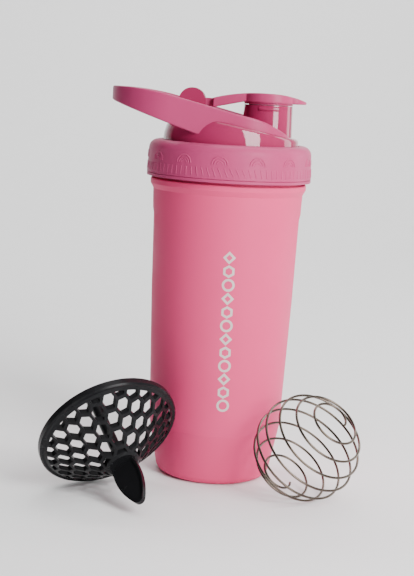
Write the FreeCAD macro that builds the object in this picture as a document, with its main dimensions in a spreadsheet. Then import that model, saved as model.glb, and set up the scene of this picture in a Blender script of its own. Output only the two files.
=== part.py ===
import FreeCAD, Part
import math
import os

import Sketcher
from FreeCAD import Placement, Rotation, Vector

# Shaker bottle, in millimetres. +Z is up, the origin is the centre of the cup's base, the spout and
# the thumb tab point to +X, and the carry loop reaches out to -X.

UP = Vector(0, 0, 1)
ALONG_Y = Rotation(Vector(1, 0, 0), -90)    # turns a shape's +Z onto +Y

# Every size that can be set by itself: alias, value, meaning.
SIZES = [
    # cup, outer wall
    ("base_radius", 32.1, "outer radius at the floor, before its rounding"),
    ("kink_radius", 37.6, "outer radius where the base section meets the body"),
    ("kink_height", 29.5, "height of that meeting line"),
    ("body_radius", 42.0, "outer radius at the top of the body"),
    ("body_height", 162.0, "height of the top of the body"),
    ("bead_step", 1.65, "how far the bead under the lid stands out from the body"),
    ("bead_width", 3.0, "height of the bead"),
    ("flare_height", 3.0, "height of the flare below the bead"),
    ("bead_round", 0.8, "rounding of the bead's edges"),
    ("base_round", 5.0, "rounding at the floor"),
    ("neck_step", 1.0, "how much narrower than the body the neck is, at the thread's root"),
    ("neck_height", 16.0, "height of the neck above the bead"),
    ("steel", 0.8, "thickness of each steel wall"),
    ("vacuum_gap", 2.6, "space between the two walls"),
    ("neck_gap", 0.3, "space between the two walls in the neck"),
    ("floor_gap", 4.2, "space under the liner's floor"),
    ("liner_shoulder", 4.0, "depth below the body's top where the liner starts to narrow"),
    ("floor_rim", 8.4, "width of the ring of shell floor round the base plate's lower step"),
    ("plate_lap", 1.8, "how far the base plate's flange laps the shell's floor"),
    ("weld_gap", 0.1, "gap round the base plate's lower step"),
    ("getter_radius", 4.5, "radius of the getter"),
    ("getter_height", 1.6, "thickness of the getter"),
    # grip dents
    ("grip_top_gap", 9.0, "distance from the top of the grip dents to the top of the body"),
    ("grip_foot_gap", 4.5, "distance from the kink up to where the grip dents end"),
    ("grip_width", 44.0, "width of the arch that bounds a grip dent"),
    ("grip_slope_run", 5.0, "length of the sloped edge round a grip dent"),
    ("grip_face_radius", 54.8, "radius of the dented face"),
    ("grip_face_step", 0.15, "how far outside the kink the dented face would start"),
    ("grip_face_turn", 0.652, "how much steeper the dented face is than the wall, in degrees"),
    # screw thread
    ("thread_lead", 6.0, "rise in one turn"),
    ("thread_depth", 1.1, "radial depth of the thread"),
    ("thread_root", 3.2, "width of the thread at its root"),
    ("thread_crest", 1.6, "width of the thread at its crest"),
    ("thread_turns", 1.5, "turns of thread on each side"),
    ("thread_start", 4.4, "height of the neck thread's start above the bead"),
    ("thread_gap", 0.4, "radial clearance between the two threads"),
    # lid
    ("seat_gap", 1.4, "gap between the bead and the collar"),
    ("collar_wall", 2.15, "wall of the collar band at its lower edge"),
    ("collar_draft", 0.8, "how much the collar narrows to its top"),
    ("collar_height", 19.9, "height of the collar"),
    ("collar_round", 5.0, "rounding of the collar's shoulder"),
    ("collar_skin", 1.6, "thickness of the band over the lid's top"),
    ("collar_groove", 0.5, "depth and height of the groove near the collar's lower edge"),
    ("collar_lip", 1.4, "height of the plain lip below that groove"),
    ("bond_gap", 0.05, "glue line between the band and the lid core"),
    ("skirt_wall", 1.3, "wall of the threaded skirt"),
    ("skirt_lift", 0.6, "how far the threaded skirt stops short of the band's lower edge"),
    ("plug_skirt_wall", 1.8, "wall of the skirt that plugs the neck"),
    ("plug_skirt_gap", 1.0, "clearance between that skirt and the liner"),
    ("plug_skirt_depth", 9.0, "how far that skirt reaches below the lid's top plate"),
    ("gasket_height", 1.4, "thickness of the gasket"),
    ("gasket_gap", 0.3, "clearance round the gasket"),
    ("gasket_play", 0.05, "clearance between the gasket and the lid's top plate"),
    ("gasket_squeeze", 0.2, "gap between the gasket and the lip"),
    ("shoulder_width", 7.4, "width of the collar's shoulder, from its edge to the dome"),
    ("dome_curve", 21.6, "radius of the dome's round side"),
    ("dome_wall", 2.2, "wall of the dome and the deck"),
    ("dome_seam", 0.5, "gap between the dome and the collar band"),
    ("dome_round", 2.6, "rounding of the deck's edge"),
    ("deck_rise", 10.9, "height of the sloping deck above the collar, on the axis"),
    ("deck_slope", 10.8, "slope of the deck, in degrees"),
    # spout
    ("spout_inset", 18.0, "distance from the spout's axis to the dome's edge"),
    ("spout_radius", 13.5, "outer radius of the spout at its rim"),
    ("spout_draft", 0.6, "how much wider the spout is at its foot"),
    ("spout_rise", 21.6, "height of the spout's rim above the collar"),
    ("spout_wall", 2.2, "wall of the spout"),
    ("spout_depth", 20.0, "height of the spout's wall, some of it in the dome"),
    ("bead_angle", 45.0, "angle that each snap bead spans, in degrees"),
    ("bead_thick", 1.4, "radius of a snap bead's section"),
    ("bead_proud", 0.8, "how far a snap bead stands out"),
    ("bead_drop", 1.9, "depth of the snap beads below the rim"),
    # hinge
    ("hinge_inset", 15.3, "distance from the hinge to the dome's edge"),
    ("hinge_rise", 21.7, "height of the hinge above the collar"),
    ("ear_radius", 7.5, "radius of the ears"),
    ("ear_thick", 3.2, "thickness of each ear"),
    ("ear_span", 20.4, "distance over both ears"),
    ("ear_gap", 0.35, "clearance beside the knuckle"),
    ("pin_radius", 1.6, "radius of the hinge pin"),
    ("pin_gap", 0.05, "running clearance round the pin"),
    ("pin_press", 0.02, "clearance of the pin in the ears"),
    ("knuckle_wall", 4.2, "wall of the knuckle round the pin"),
    ("knuckle_gap", 0.5, "clearance between the knuckle and the trough in the deck"),
    # flip cap
    ("cap_crown", 6.3, "height of the cap's crown above the hinge"),
    ("cap_under", 1.2, "height of the cap's flat underside above the hinge"),
    ("cap_overhang", 1.9, "how far the cap's disc stands out over the spout"),
    ("cap_tab_radius", 8.4, "radius of the thumb tab's end"),
    ("cap_tab_reach", 21.1, "distance of the thumb tab's tip from the spout's axis"),
    ("cap_arm_start", 11.4, "distance of the arm's near end from the hinge"),
    ("cap_arm_width", 18.0, "width of the arm"),
    ("cap_arm_under", 2.8, "depth of the arm's near end below the hinge"),
    ("cap_arm_top", 2.5, "height of the arm's near end above the hinge"),
    ("cap_arm_run", 17.0, "length over which the arm rises to the disc"),
    ("cap_tip_top", 2.6, "height of the thumb tab's tip above the hinge"),
    ("cap_neck_width", 10.0, "width of the neck between knuckle and arm"),
    ("cap_neck_thick", 4.4, "thickness of that neck"),
    ("cap_crown_radius", 95.0, "radius of the crown's long curve"),
    ("cap_tip_curve", 57.0, "radius of the curve down to the thumb tab"),
    ("cap_round", 0.8, "rounding of the cap's edges"),
    ("cap_gap", 0.3, "gap between the cap's collar and the spout's rim"),
    ("seal_gap", 0.3, "clearance between the seal and the spout's bore"),
    ("seal_depth", 2.8, "length of the seal"),
    ("seal_wall", 1.6, "wall of the seal"),
    ("seal_lead_in", 0.4, "width of the seal's chamfer"),
    ("seal_lead_rise", 0.6, "height of the seal's chamfer"),
    # carry loop
    ("loop_inset", 4.8, "how much narrower than the dome the loop is, on each side"),
    ("loop_wall", 4.6, "thickness of the loop's wall"),
    ("loop_stretch", 29.3, "how far the loop's tip stands out past the dome"),
    ("loop_nose", 4.0, "distance of the saddle's round end from the axis"),
    ("loop_tip_rise", 27.8, "height of the loop's top above the collar, at its tip"),
    ("loop_under_rise", 20.3, "height of the loop's underside above the collar, at its tip"),
    ("loop_cusp_reach", 17.0, "distance of the low cusp from the axis"),
    ("loop_cusp_rise", 4.0, "height of the low cusp above the collar"),
    ("loop_bend_reach", 30.2, "distance of the top edge's bend from the axis"),
    ("loop_bend_rise", 23.8, "height of the top edge's bend above the collar"),
    ("loop_edge_end", 5.7, "distance of the straight top edge's end from the axis"),
    ("loop_edge_rise", 15.5, "height of the straight top edge's end above the collar"),
    ("loop_shoulder_inset", 1.4, "distance from the shoulder's end to the dome's edge"),
    ("loop_shoulder_rise", 1.1, "height of the shoulder's end above the collar"),
    ("loop_top_curve", 140.0, "radius of the top edge near the tip"),
    ("loop_shoulder_curve", 55.0, "radius of the top edge over the shoulder"),
    ("loop_round", 1.0, "rounding of the loop's edges"),
    # strainer, in its own frame: rim plane at 0, post towards +Z
    ("rim_gap", 0.5, "clearance between the strainer's rim and the liner's neck"),
    ("rim_height", 4.0, "height of the rim"),
    ("rim_wall", 2.2, "wall of the rim"),
    ("rim_edge", 0.8, "chamfer under the rim"),
    ("cone_depth", 24.5, "depth of the hub below the rim's top"),
    ("cone_thick", 3.2, "thickness of the honeycomb, along the axis"),
    ("hub_radius", 8.0, "radius of the hub"),
    ("cell_width", 6.4, "width of a cell across its flats"),
    ("cell_web", 1.5, "width of the web between two cells"),
    ("cell_margin", 1.4, "plain ring between the cells and the rim or the hub"),
    ("post_radius", 3.1, "radius of the post"),
    ("post_top", 23.6, "height of the post above the rim"),
    ("knob_radius", 4.2, "radius of the knob"),
    ("knob_height", 4.4, "height of the knob"),
    ("leaf_width", 14.0, "width of the leaf grip"),
    ("leaf_length", 27.0, "length of the leaf grip"),
    ("leaf_thick", 3.0, "thickness of the leaf grip's edge"),
    ("leaf_edge", 1.4, "width of the raised edge"),
    ("leaf_recess", 0.8, "depth of the leaf's hollow, on each side"),
    ("leaf_side_curve", 32.0, "radius of the leaf's sides"),
    ("leaf_tip_radius", 3.2, "radius of the leaf's tip"),
    ("strainer_gap", 0.05, "spare distance between the strainer and the cup"),
    ("strainer_bearing", -137.875, "direction of the strainer from the cup, in degrees from +X"),
    ("strainer_tilt", 58.0, "tilt of the strainer's axis from upright, in degrees"),
    ("strainer_heading", 121.0, "direction in which the post leans, in degrees from +X"),
    ("floor_clearance", 0.05, "height of loose pieces above the floor"),
    # whisk ball
    ("ball_radius", 28.4, "radius of the sphere that the wire's centre line follows"),
    ("wire_radius", 0.65, "radius of the wire"),
    ("ball_turns", 8.0, "turns of wire"),
    ("ball_end", 13.5, "angle from the coil's axis to the wire's ends, in degrees"),
    ("ball_gap", 1.7, "distance between the ball and the cup's kink"),
    ("ball_bearing", -41.74, "direction of the ball from the cup, in degrees from +X"),
    ("ball_tilt", 41.0, "tilt of the coil's axis from upright, in degrees"),
    ("ball_heading", -46.0, "direction in which the coil's axis leans, in degrees from +X"),
]

doc = FreeCAD.newDocument("Shaker")
sheet = doc.addObject("Spreadsheet::Sheet", "Sizes")


class Size:
    """A number together with the spreadsheet expression that it comes from."""

    def __init__(self, value, text):
        self.value = value
        self.text = text

    @staticmethod
    def of(item):
        return item if isinstance(item, Size) else Size(float(item), f"({float(item)})")

    def combine(self, other, sign, value):
        return Size(value, f"({self.text} {sign} {other.text})")

    def __add__(self, other):
        other = Size.of(other)
        return self.combine(other, "+", self.value + other.value)

    def __sub__(self, other):
        other = Size.of(other)
        return self.combine(other, "-", self.value - other.value)

    def __mul__(self, other):
        other = Size.of(other)
        return self.combine(other, "*", self.value * other.value)

    def __truediv__(self, other):
        other = Size.of(other)
        return self.combine(other, "/", self.value / other.value)

    def __neg__(self):
        return Size(-self.value, f"(-1 * {self.text})")

    def __float__(self):
        return self.value


class Sizes:
    """The driving dimensions, by alias."""


size = Sizes()
for row, (alias, value, meaning) in enumerate(SIZES, start=2):
    sheet.set(f"A{row}", alias)
    sheet.set(f"B{row}", str(value))
    sheet.set(f"C{row}", meaning)
    sheet.setAlias(f"B{row}", alias)
    setattr(size, alias, Size(value, f"Sizes.{alias}"))
doc.recompute()


def tangent(degrees):
    """The tangent of an angle held in the sheet."""
    return Size(math.tan(math.radians(degrees.value)), f"tan({degrees.text} * 1 deg)")


def angle_of(slope):
    """The angle of a slope, in degrees."""
    return Size(math.degrees(math.atan(slope.value)), f"(atan({slope.text}) / 1 deg)")


# How far a cutting tool runs past what it cuts.
OVERRUN = 1.0


# ---------------------------------------------------------------- shared makers

def bind(item, **properties):
    """Tie an object's properties to expressions."""
    for name, value in properties.items():
        item.setExpression(name, Size.of(value).text)
    return item


def place(item, x=0.0, y=0.0, z=0.0, turn=Rotation()):
    """Stand an object at a point that follows the sheet."""
    x, y, z = Size.of(x), Size.of(y), Size.of(z)
    item.Placement = Placement(Vector(x.value, y.value, z.value), turn)
    for axis, part in (("x", x), ("y", y), ("z", z)):
        item.setExpression(f"Placement.Base.{axis}", part.text)
    return item


def primitive(kind, name, at=(0.0, 0.0, 0.0), turn=Rotation(), **properties):
    """A Part primitive with bound sizes."""
    item = doc.addObject(f"Part::{kind}", name)
    bind(item, **properties)
    return place(item, *at, turn=turn)


def fuse(name, *shapes):
    """A union of shapes."""
    item = doc.addObject("Part::MultiFuse", name)
    item.Shapes = list(shapes)
    item.Refine = False
    return item


def common(name, *shapes):
    """What all the shapes share."""
    item = doc.addObject("Part::MultiCommon", name)
    item.Shapes = list(shapes)
    item.Refine = False
    return item


def cut(name, base, tool):
    """One shape less another."""
    item = doc.addObject("Part::Cut", name)
    item.Base = base
    item.Tool = tool
    item.Refine = False
    return item


def arc_between(start, end, radius):
    """An arc from start to end. A positive radius turns left, a negative one right."""
    middle = (start + end) * 0.5
    chord = end - start
    side = Vector(-chord.y, chord.x, 0).normalize()
    offset = math.sqrt(max(radius * radius - chord.Length * chord.Length / 4, 0.0))
    centre = middle + side * math.copysign(offset, radius)
    first, last = (start, end) if radius > 0 else (end, start)
    angles = [math.atan2(p.y - centre.y, p.x - centre.x) for p in (first, last)]
    circle = Part.Circle(centre, UP, abs(radius))
    return Part.ArcOfCircle(circle, angles[0], angles[1])


def draw(sketch, outline):
    """Draw a closed outline whose corners are tied to the sheet.

    Each corner is (across, up) or (across, up, radius). With a radius, the edge that leaves the
    corner is an arc: positive turns left, negative turns right.
    """
    corners = [tuple(Size.of(item) for item in corner) for corner in outline]
    points = [Vector(corner[0].value, corner[1].value, 0) for corner in corners]
    edges = []
    for index, corner in enumerate(corners):
        start, end = points[index], points[(index + 1) % len(points)]
        if len(corner) == 3:
            shape = arc_between(start, end, corner[2].value)
            forward = corner[2].value > 0
        else:
            shape = Part.LineSegment(start, end)
            forward = True
        number = sketch.addGeometry(shape, False)
        edges.append((number, 1 if forward else 2, 2 if forward else 1))
    for index, corner in enumerate(corners):
        number, head, _ = edges[index]
        before, _, tail = edges[index - 1]
        sketch.addConstraint(Sketcher.Constraint("Coincident", before, tail, number, head))
        for kind, axis, part in (("DistanceX", -2, corner[0]), ("DistanceY", -1, corner[1])):
            if part.value == 0.0:
                sketch.addConstraint(Sketcher.Constraint("PointOnObject", number, head, axis))
                continue
            rule = Sketcher.Constraint(kind, -1, 1, number, head, part.value)
            tie(sketch, rule, part)
        if len(corner) == 3:
            radius = Size(abs(corner[2].value), f"abs({corner[2].text})")
            tie(sketch, Sketcher.Constraint("Radius", number, radius.value), radius)


def tie(sketch, rule, part):
    """Add a driving constraint and bind it to the sheet."""
    number = sketch.addConstraint(rule)
    name = f"rule{number}"
    sketch.renameConstraint(number, name)
    sketch.setExpression(f"Constraints.{name}", part.text)


def sketch_on(body, role, name, outline):
    """A sketch on one of the body's own origin planes."""
    plane = [item for item in body.Origin.OriginFeatures if item.Role == role][0]
    sketch = body.newObject("Sketcher::SketchObject", name)
    sketch.AttachmentSupport = [(plane, "")]
    sketch.MapMode = "FlatFace"
    draw(sketch, outline)
    return sketch


def turned(name, outline):
    """A body turned about the Z axis from an outline in radius and height."""
    body = doc.addObject("PartDesign::Body", name)
    sketch = sketch_on(body, "XZ_Plane", f"{name}_outline", outline)
    feature = body.newObject("PartDesign::Revolution", f"{name}_turn")
    feature.Profile = sketch
    feature.ReferenceAxis = (sketch, ["V_Axis"])
    feature.Angle = 360.0
    doc.recompute()
    return body


def padded(name, role, outline, depth):
    """A body padded both ways from one of its origin planes."""
    body = doc.addObject("PartDesign::Body", name)
    sketch = sketch_on(body, role, f"{name}_outline", outline)
    feature = body.newObject("PartDesign::Pad", f"{name}_pad")
    feature.Profile = sketch
    feature.Midplane = True
    bind(feature, Length=depth)
    doc.recompute()
    return body


def ring_edges(body, rings):
    """Names of the circular edges at the given radii and heights."""
    names = []
    for number, edge in enumerate(body.Shape.Edges, start=1):
        if not isinstance(edge.Curve, Part.Circle):
            continue
        for radius, height in rings:
            near = abs(edge.Curve.Radius - float(radius)) + abs(edge.Curve.Center.z - float(height))
            if near < 0.02:
                names.append(f"Edge{number}")
    return names


def round_off(body, radius, *rings):
    """Round the body's circular edges at the given radii and heights."""
    base = body.Tip
    names = ring_edges(body, rings)
    feature = body.newObject("PartDesign::Fillet", f"{body.Name}_round{len(body.Group)}")
    feature.Base = (base, names)
    bind(feature, Radius=radius)
    body.Tip = feature
    doc.recompute()


def soften(name, base, radius, numbers=None):
    """Round some of a shape's edges, or all of them."""
    doc.recompute()
    numbers = numbers or range(1, len(base.Shape.Edges) + 1)
    item = doc.addObject("Part::Fillet", name)
    item.Base = base
    item.Edges = [(number, radius.value, radius.value) for number in numbers]
    return item


def add_thread(body, root_radius, depth, start):
    """Wind a trapezoidal thread on a turned body. A negative depth points inwards."""
    sunk = Size.of(math.copysign(0.2, depth.value))
    outline = [
        (root_radius - sunk, start - size.thread_root / 2),
        (root_radius + depth, start - size.thread_crest / 2),
        (root_radius + depth, start + size.thread_crest / 2),
        (root_radius - sunk, start + size.thread_root / 2),
    ]
    sketch = sketch_on(body, "XZ_Plane", f"{body.Name}_thread_outline", outline)
    feature = body.newObject("PartDesign::AdditiveHelix", f"{body.Name}_thread")
    feature.Profile = sketch
    feature.ReferenceAxis = (sketch, ["V_Axis"])
    feature.Mode = 1
    feature.HasBeenEdited = True
    bind(feature, Pitch=size.thread_lead, Turns=size.thread_turns)
    body.Tip = feature
    doc.recompute()


# ---------------------------------------------------------------- cup

wall_slope = (size.body_radius - size.kink_radius) / (size.body_height - size.kink_height)
foot_slope = (size.kink_radius - size.base_radius) / size.kink_height
neck_radius = size.body_radius - size.neck_step
neck_inside = neck_radius - size.steel * 2 - size.neck_gap
bead_radius = size.body_radius + size.bead_step
plate_step = size.base_radius - size.floor_rim
bead_foot = size.body_height + size.flare_height
bead_top = bead_foot + size.bead_width
lip_height = bead_top + size.neck_height


def grip_tool(name, inset):
    """The volume that one grip dent takes away, set in from the outer wall by inset."""
    half = size.grip_width / 2
    foot = size.kink_height + size.grip_foot_gap
    spring = size.body_height - size.grip_top_gap - half
    narrow = half - size.grip_slope_run
    face_foot = size.kink_radius + size.grip_face_step - inset
    lean = angle_of(wall_slope) - size.grip_face_turn

    def arch(label, distance, width):
        sketch = doc.addObject("Sketcher::SketchObject", label)
        sketch.Placement = Placement(Vector(distance.value, 0, 0), Rotation(Vector(1, 1, 1), 120))
        sketch.setExpression("Placement.Base.x", distance.text)
        draw(sketch, [
            (-width, foot),
            (width, foot),
            (width, spring, width),
            (0.0, spring + width, width),
            (-width, spring),
        ])
        return sketch

    floor = face_foot - OVERRUN
    mouth = size.body_radius - inset + OVERRUN
    prism = doc.addObject("Part::Loft", f"{name}_prism")
    prism.Sections = [
        arch(f"{name}_floor_arch", floor, narrow),
        arch(f"{name}_mouth_arch", mouth, half),
    ]
    prism.Solid = True
    prism.Ruled = True
    face = primitive("Cylinder", f"{name}_face", at=(face_foot - size.grip_face_radius, 0.0, 0.0),
                     turn=Rotation(Vector(0, 1, 0), lean.value),
                     Radius=size.grip_face_radius, Height=size.body_height * 1.2)
    face.setExpression("Placement.Rotation.Angle", lean.text)
    one = cut(f"{name}_one", prism, face)
    other = doc.addObject("Part::Mirroring", f"{name}_other")
    other.Source = one
    other.Normal = Vector(1, 0, 0)
    return fuse(name, one, other)


def build_outer_shell():
    """The coated outer wall: a hollow cone with a flared bead and a threaded neck."""
    wall = size.steel
    opening = plate_step + size.weld_gap
    blank = turned("shell_blank", [
        (0.0, 0.0),
        (size.base_radius, 0.0),
        (size.kink_radius, size.kink_height),
        (size.body_radius, size.body_height),
        (bead_radius, bead_foot),
        (bead_radius, bead_top),
        (neck_radius, bead_top),
        (neck_radius, lip_height),
        (0.0, lip_height),
    ])
    round_off(blank, size.base_round, (size.base_radius, 0.0))
    round_off(blank, size.bead_round, (bead_radius, bead_top), (bead_radius, bead_foot))
    add_thread(blank, neck_radius, size.thread_depth, bead_top + size.thread_start)
    hollow = turned("shell_hollow", [
        (0.0, wall),
        (size.base_radius + foot_slope * wall - wall, wall),
        (size.kink_radius - wall, size.kink_height),
        (size.body_radius - wall, size.body_height),
        (bead_radius - wall, bead_foot + wall / 2),
        (bead_radius - wall, bead_top - wall),
        (neck_radius - wall, bead_top - wall),
        (neck_radius - wall, lip_height + OVERRUN),
        (0.0, lip_height + OVERRUN),
    ])
    round_off(hollow, size.base_round - wall,
              (size.base_radius + foot_slope * wall - wall, wall))
    door = primitive("Cylinder", "shell_door", at=(0.0, 0.0, -OVERRUN),
                     Radius=opening, Height=wall + OVERRUN * 2)
    dented = cut("shell_dented", blank, grip_tool("grip_outer", Size.of(0.0)))
    cavity = cut("shell_cavity", hollow, grip_tool("grip_inner", wall))
    return cut("outer_shell", dented, fuse("shell_space", cavity, door))


def build_inner_liner():
    """The inner steel cup, hung from the neck by its lip."""
    inset = size.steel + size.vacuum_gap
    wall = size.steel
    low = size.floor_gap
    neck = neck_inside + wall
    shoulder = size.body_height - size.liner_shoulder
    foot = size.base_radius + foot_slope * low - inset
    bend = size.kink_radius - inset
    top = size.body_radius - inset
    body = turned("inner_liner", [
        (0.0, low),
        (foot, low),
        (bend, size.kink_height),
        (top, shoulder),
        (neck, bead_foot),
        (neck, lip_height),
        (neck_radius, lip_height),
        (neck_radius, lip_height + wall),
        (neck_inside, lip_height + wall),
        (neck_inside, bead_foot),
        (top - wall, shoulder),
        (bend - wall, size.kink_height),
        (foot - wall + foot_slope * wall, low + wall),
        (0.0, low + wall),
    ])
    round_off(body, size.base_round, (foot, low))
    round_off(body, size.base_round - wall, (foot - wall + foot_slope * wall, low + wall))
    return body


def build_base_plate():
    """The stepped disc that closes the outer wall from below."""
    wall = size.steel
    flange = plate_step + size.plate_lap
    return turned("base_plate", [
        (0.0, 0.0),
        (plate_step, 0.0),
        (plate_step, wall),
        (flange, wall),
        (flange, wall * 2),
        (0.0, wall * 2),
    ])


def build_vacuum_getter():
    """A small disc on the base plate, inside the insulating space."""
    return primitive("Cylinder", "vacuum_getter", at=(0.0, 0.0, size.steel * 2),
                     Radius=size.getter_radius, Height=size.getter_height)


# ---------------------------------------------------------------- lid

collar_foot = bead_top + size.seat_gap
collar_top = collar_foot + size.collar_height
plate_top = collar_top - size.collar_skin - size.bond_gap
thread_valley = neck_radius + size.thread_depth + size.thread_gap
skirt_radius = thread_valley + size.skirt_wall
band_bore = skirt_radius + size.bond_gap
gasket_foot = lip_height + size.steel + size.gasket_squeeze
plate_under = gasket_foot + size.gasket_height
plug_radius = neck_inside - size.plug_skirt_gap
collar_radius = band_bore + size.collar_wall
collar_top_radius = collar_radius - size.collar_draft
dome_radius = collar_top_radius - size.shoulder_width
deck_drop = tangent(size.deck_slope)
deck_height = collar_top + size.deck_rise
spout_centre = dome_radius - size.spout_inset
spout_rim = collar_top + size.spout_rise
spout_foot = spout_rim - size.spout_depth
hinge_reach = dome_radius - size.hinge_inset
hinge_height = collar_top + size.hinge_rise
knuckle_radius = size.pin_radius + size.knuckle_wall
spout_bore = size.spout_radius - size.spout_wall


def build_collar_band():
    """The grip band, a cap-shaped sleeve with a wide round shoulder."""
    top_bore = dome_radius + size.dome_seam
    inner_round = size.collar_round - size.collar_skin
    lip = collar_foot + size.collar_lip
    body = turned("collar_band", [
        (band_bore, collar_foot),
        (collar_radius, collar_foot),
        (collar_radius, lip),
        (collar_radius - size.collar_groove, lip + size.collar_groove / 2),
        (collar_radius, lip + size.collar_groove),
        (collar_top_radius, collar_top),
        (top_bore, collar_top),
        (top_bore, collar_top - size.collar_skin),
        (band_bore, collar_top - size.collar_skin),
    ])
    round_off(body, size.collar_round, (collar_top_radius, collar_top))
    round_off(body, inner_round, (band_bore, collar_top - size.collar_skin))
    return body


def build_lid_skirt():
    """The lid's threaded skirt, top plate and plug skirt."""
    inner = plug_radius - size.plug_skirt_wall
    body = turned("lid_skirt", [
        (thread_valley, collar_foot + size.skirt_lift),
        (skirt_radius, collar_foot + size.skirt_lift),
        (skirt_radius, plate_top),
        (inner, plate_top),
        (inner, plate_under - size.plug_skirt_depth),
        (plug_radius, plate_under - size.plug_skirt_depth),
        (plug_radius, plate_under),
        (thread_valley, plate_under),
    ])
    round_off(body, size.collar_round - size.collar_skin - size.bond_gap, (skirt_radius, plate_top))
    start = bead_top + size.thread_start + size.thread_lead / 2
    add_thread(body, thread_valley, -size.thread_depth, start)
    return body


def dome_volume(name, inset):
    """A round-sided dome cut by the sloping deck, smaller by inset all round."""
    radius = dome_radius - inset
    curve = size.dome_curve - inset
    low = plate_under - inset * 3
    dome = turned(f"{name}_dome", [
        (0.0, low),
        (radius, low),
        (radius, collar_top, curve),
        (radius - curve, collar_top + curve),
        (0.0, collar_top + curve),
    ])
    reach = dome_radius + OVERRUN
    height = deck_height - inset
    keep = padded(f"{name}_keep", "XZ_Plane", [
        (-reach, low - OVERRUN),
        (reach, low - OVERRUN),
        (reach, height - deck_drop * reach),
        (-reach, height + deck_drop * reach),
    ], reach * 2)
    return common(name, dome, keep)


def build_dome_blank():
    """The outer dome with the deck's edge rounded."""
    sharp = dome_volume("dome_sharp", Size.of(0.0))
    doc.recompute()
    rim = [number for number, edge in enumerate(sharp.Shape.Edges, start=1)
           if edge.BoundBox.ZMin > collar_top.value + OVERRUN and edge.Length > dome_radius.value / 2]
    return soften("dome_smooth", sharp, size.dome_round, rim)


def build_ears():
    """Two round ears with feet that reach down into the deck."""
    middle = (size.ear_span - size.ear_thick) / 2
    sunk = deck_height - size.dome_wall
    pieces = []
    for label, side in (("front", -1.0), ("back", 1.0)):
        at = middle * side - size.ear_thick / 2
        disc = primitive("Cylinder", f"ear_{label}_disc", turn=ALONG_Y,
                         at=(-hinge_reach, at, hinge_height),
                         Radius=size.ear_radius, Height=size.ear_thick)
        foot = primitive("Box", f"ear_{label}_foot",
                         at=(-hinge_reach - size.ear_radius, at, sunk),
                         Length=size.ear_radius * 2, Width=size.ear_thick,
                         Height=hinge_height - sunk)
        pieces += [disc, foot]
    return fuse("ears", *pieces)


def snap_beads():
    """Two short beads on the spout, facing forwards and back."""
    middle = size.spout_radius + size.bead_proud - size.bead_thick
    pieces = []
    for label, facing in (("front", -90.0), ("back", 90.0)):
        start = facing - size.bead_angle.value / 2
        bead = primitive("Torus", f"bead_{label}", turn=Rotation(UP, start),
                         at=(spout_centre, 0.0, spout_rim - size.bead_drop),
                         Radius1=middle, Radius2=size.bead_thick, Angle3=size.bead_angle)
        pieces.append(bead)
    return pieces


def build_lid_core():
    """The glossy moulding: dome, deck, spout, ears, and the skirts underneath."""
    spout = primitive("Cone", "spout_outside", at=(spout_centre, 0.0, spout_foot),
                      Radius1=size.spout_radius + size.spout_draft, Radius2=size.spout_radius,
                      Height=size.spout_depth)
    dome = build_dome_blank()
    beaded = fuse("spout_beaded", spout, *snap_beads())
    raised = fuse("lid_raised", dome, beaded, build_ears())
    bore = primitive("Cylinder", "spout_bore", at=(spout_centre, 0.0, spout_foot),
                     Radius=spout_bore, Height=size.spout_depth + OVERRUN)
    hinge = primitive("Cylinder", "ear_bore", turn=ALONG_Y,
                      at=(-hinge_reach, -size.ear_span, hinge_height),
                      Radius=size.pin_radius + size.pin_press, Height=size.ear_span * 2)
    slot = knuckle_slot()
    space = fuse("lid_space", dome_volume("dome_inside", size.dome_wall), bore, hinge, slot)
    upper = cut("lid_upper", raised, space)
    return dome, spout, fuse("lid_core", upper, build_lid_skirt())


def knuckle_slot():
    """The round trough that lets the knuckle turn between the ears."""
    width = size.ear_span - size.ear_thick * 2
    return primitive("Cylinder", "knuckle_slot", turn=ALONG_Y,
                     at=(-hinge_reach, -width / 2, hinge_height),
                     Radius=knuckle_radius + size.knuckle_gap, Height=width)


def build_lid_gasket():
    """The flat ring that seals the lid on the liner's lip."""
    inner = plug_radius + size.gasket_gap
    outer = neck_radius + size.gasket_gap
    top = plate_under - size.gasket_play
    return turned("lid_gasket", [
        (inner, gasket_foot),
        (outer, gasket_foot),
        (outer, top),
        (inner, top),
    ])


loop_half_width = dome_radius - size.loop_inset
loop_tip = dome_radius + size.loop_stretch


def build_carry_loop(dome, spout):
    """The loop and its saddle rails: a side outline and a stadium ring, crossed."""
    shoulder = dome_radius - size.loop_shoulder_inset
    tall = (collar_top + size.loop_tip_rise + OVERRUN) * 2
    side = padded("loop_side", "XZ_Plane", [
        (-loop_tip, collar_top + size.loop_under_rise),
        (-size.loop_cusp_reach, collar_top + size.loop_cusp_rise),
        (shoulder, collar_top - OVERRUN),
        (shoulder, collar_top + size.loop_shoulder_rise, size.loop_shoulder_curve),
        (size.loop_edge_end, collar_top + size.loop_edge_rise),
        (-size.loop_bend_reach, collar_top + size.loop_bend_rise, size.loop_top_curve),
        (-loop_tip, collar_top + size.loop_tip_rise),
    ], loop_half_width * 2 + OVERRUN)
    ring = padded("loop_ring", "XY_Plane", stadium(Size.of(0.0)), tall)
    hole = padded("loop_hole", "XY_Plane", stadium(size.loop_wall), tall + OVERRUN)
    band = common("loop_band", side, cut("loop_wall_ring", ring, hole))
    smooth = soften("loop_smooth", band, size.loop_round)
    return cut("carry_loop", smooth, fuse("loop_seat", dome, spout))


def stadium(inset):
    """The loop's outline from above, set in by inset."""
    radius = loop_half_width - inset
    left = loop_half_width - loop_tip
    return [
        (left, -radius),
        (size.loop_nose, -radius, radius),
        (size.loop_nose + radius, 0.0, radius),
        (size.loop_nose, radius),
        (left, radius, radius),
        (left - radius, 0.0, radius),
    ]


def build_hinge_pin():
    """The pin that the flip cap turns on."""
    return primitive("Cylinder", "hinge_pin", turn=ALONG_Y,
                     at=(-hinge_reach, -size.ear_span / 2, hinge_height),
                     Radius=size.pin_radius, Height=size.ear_span)


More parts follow.
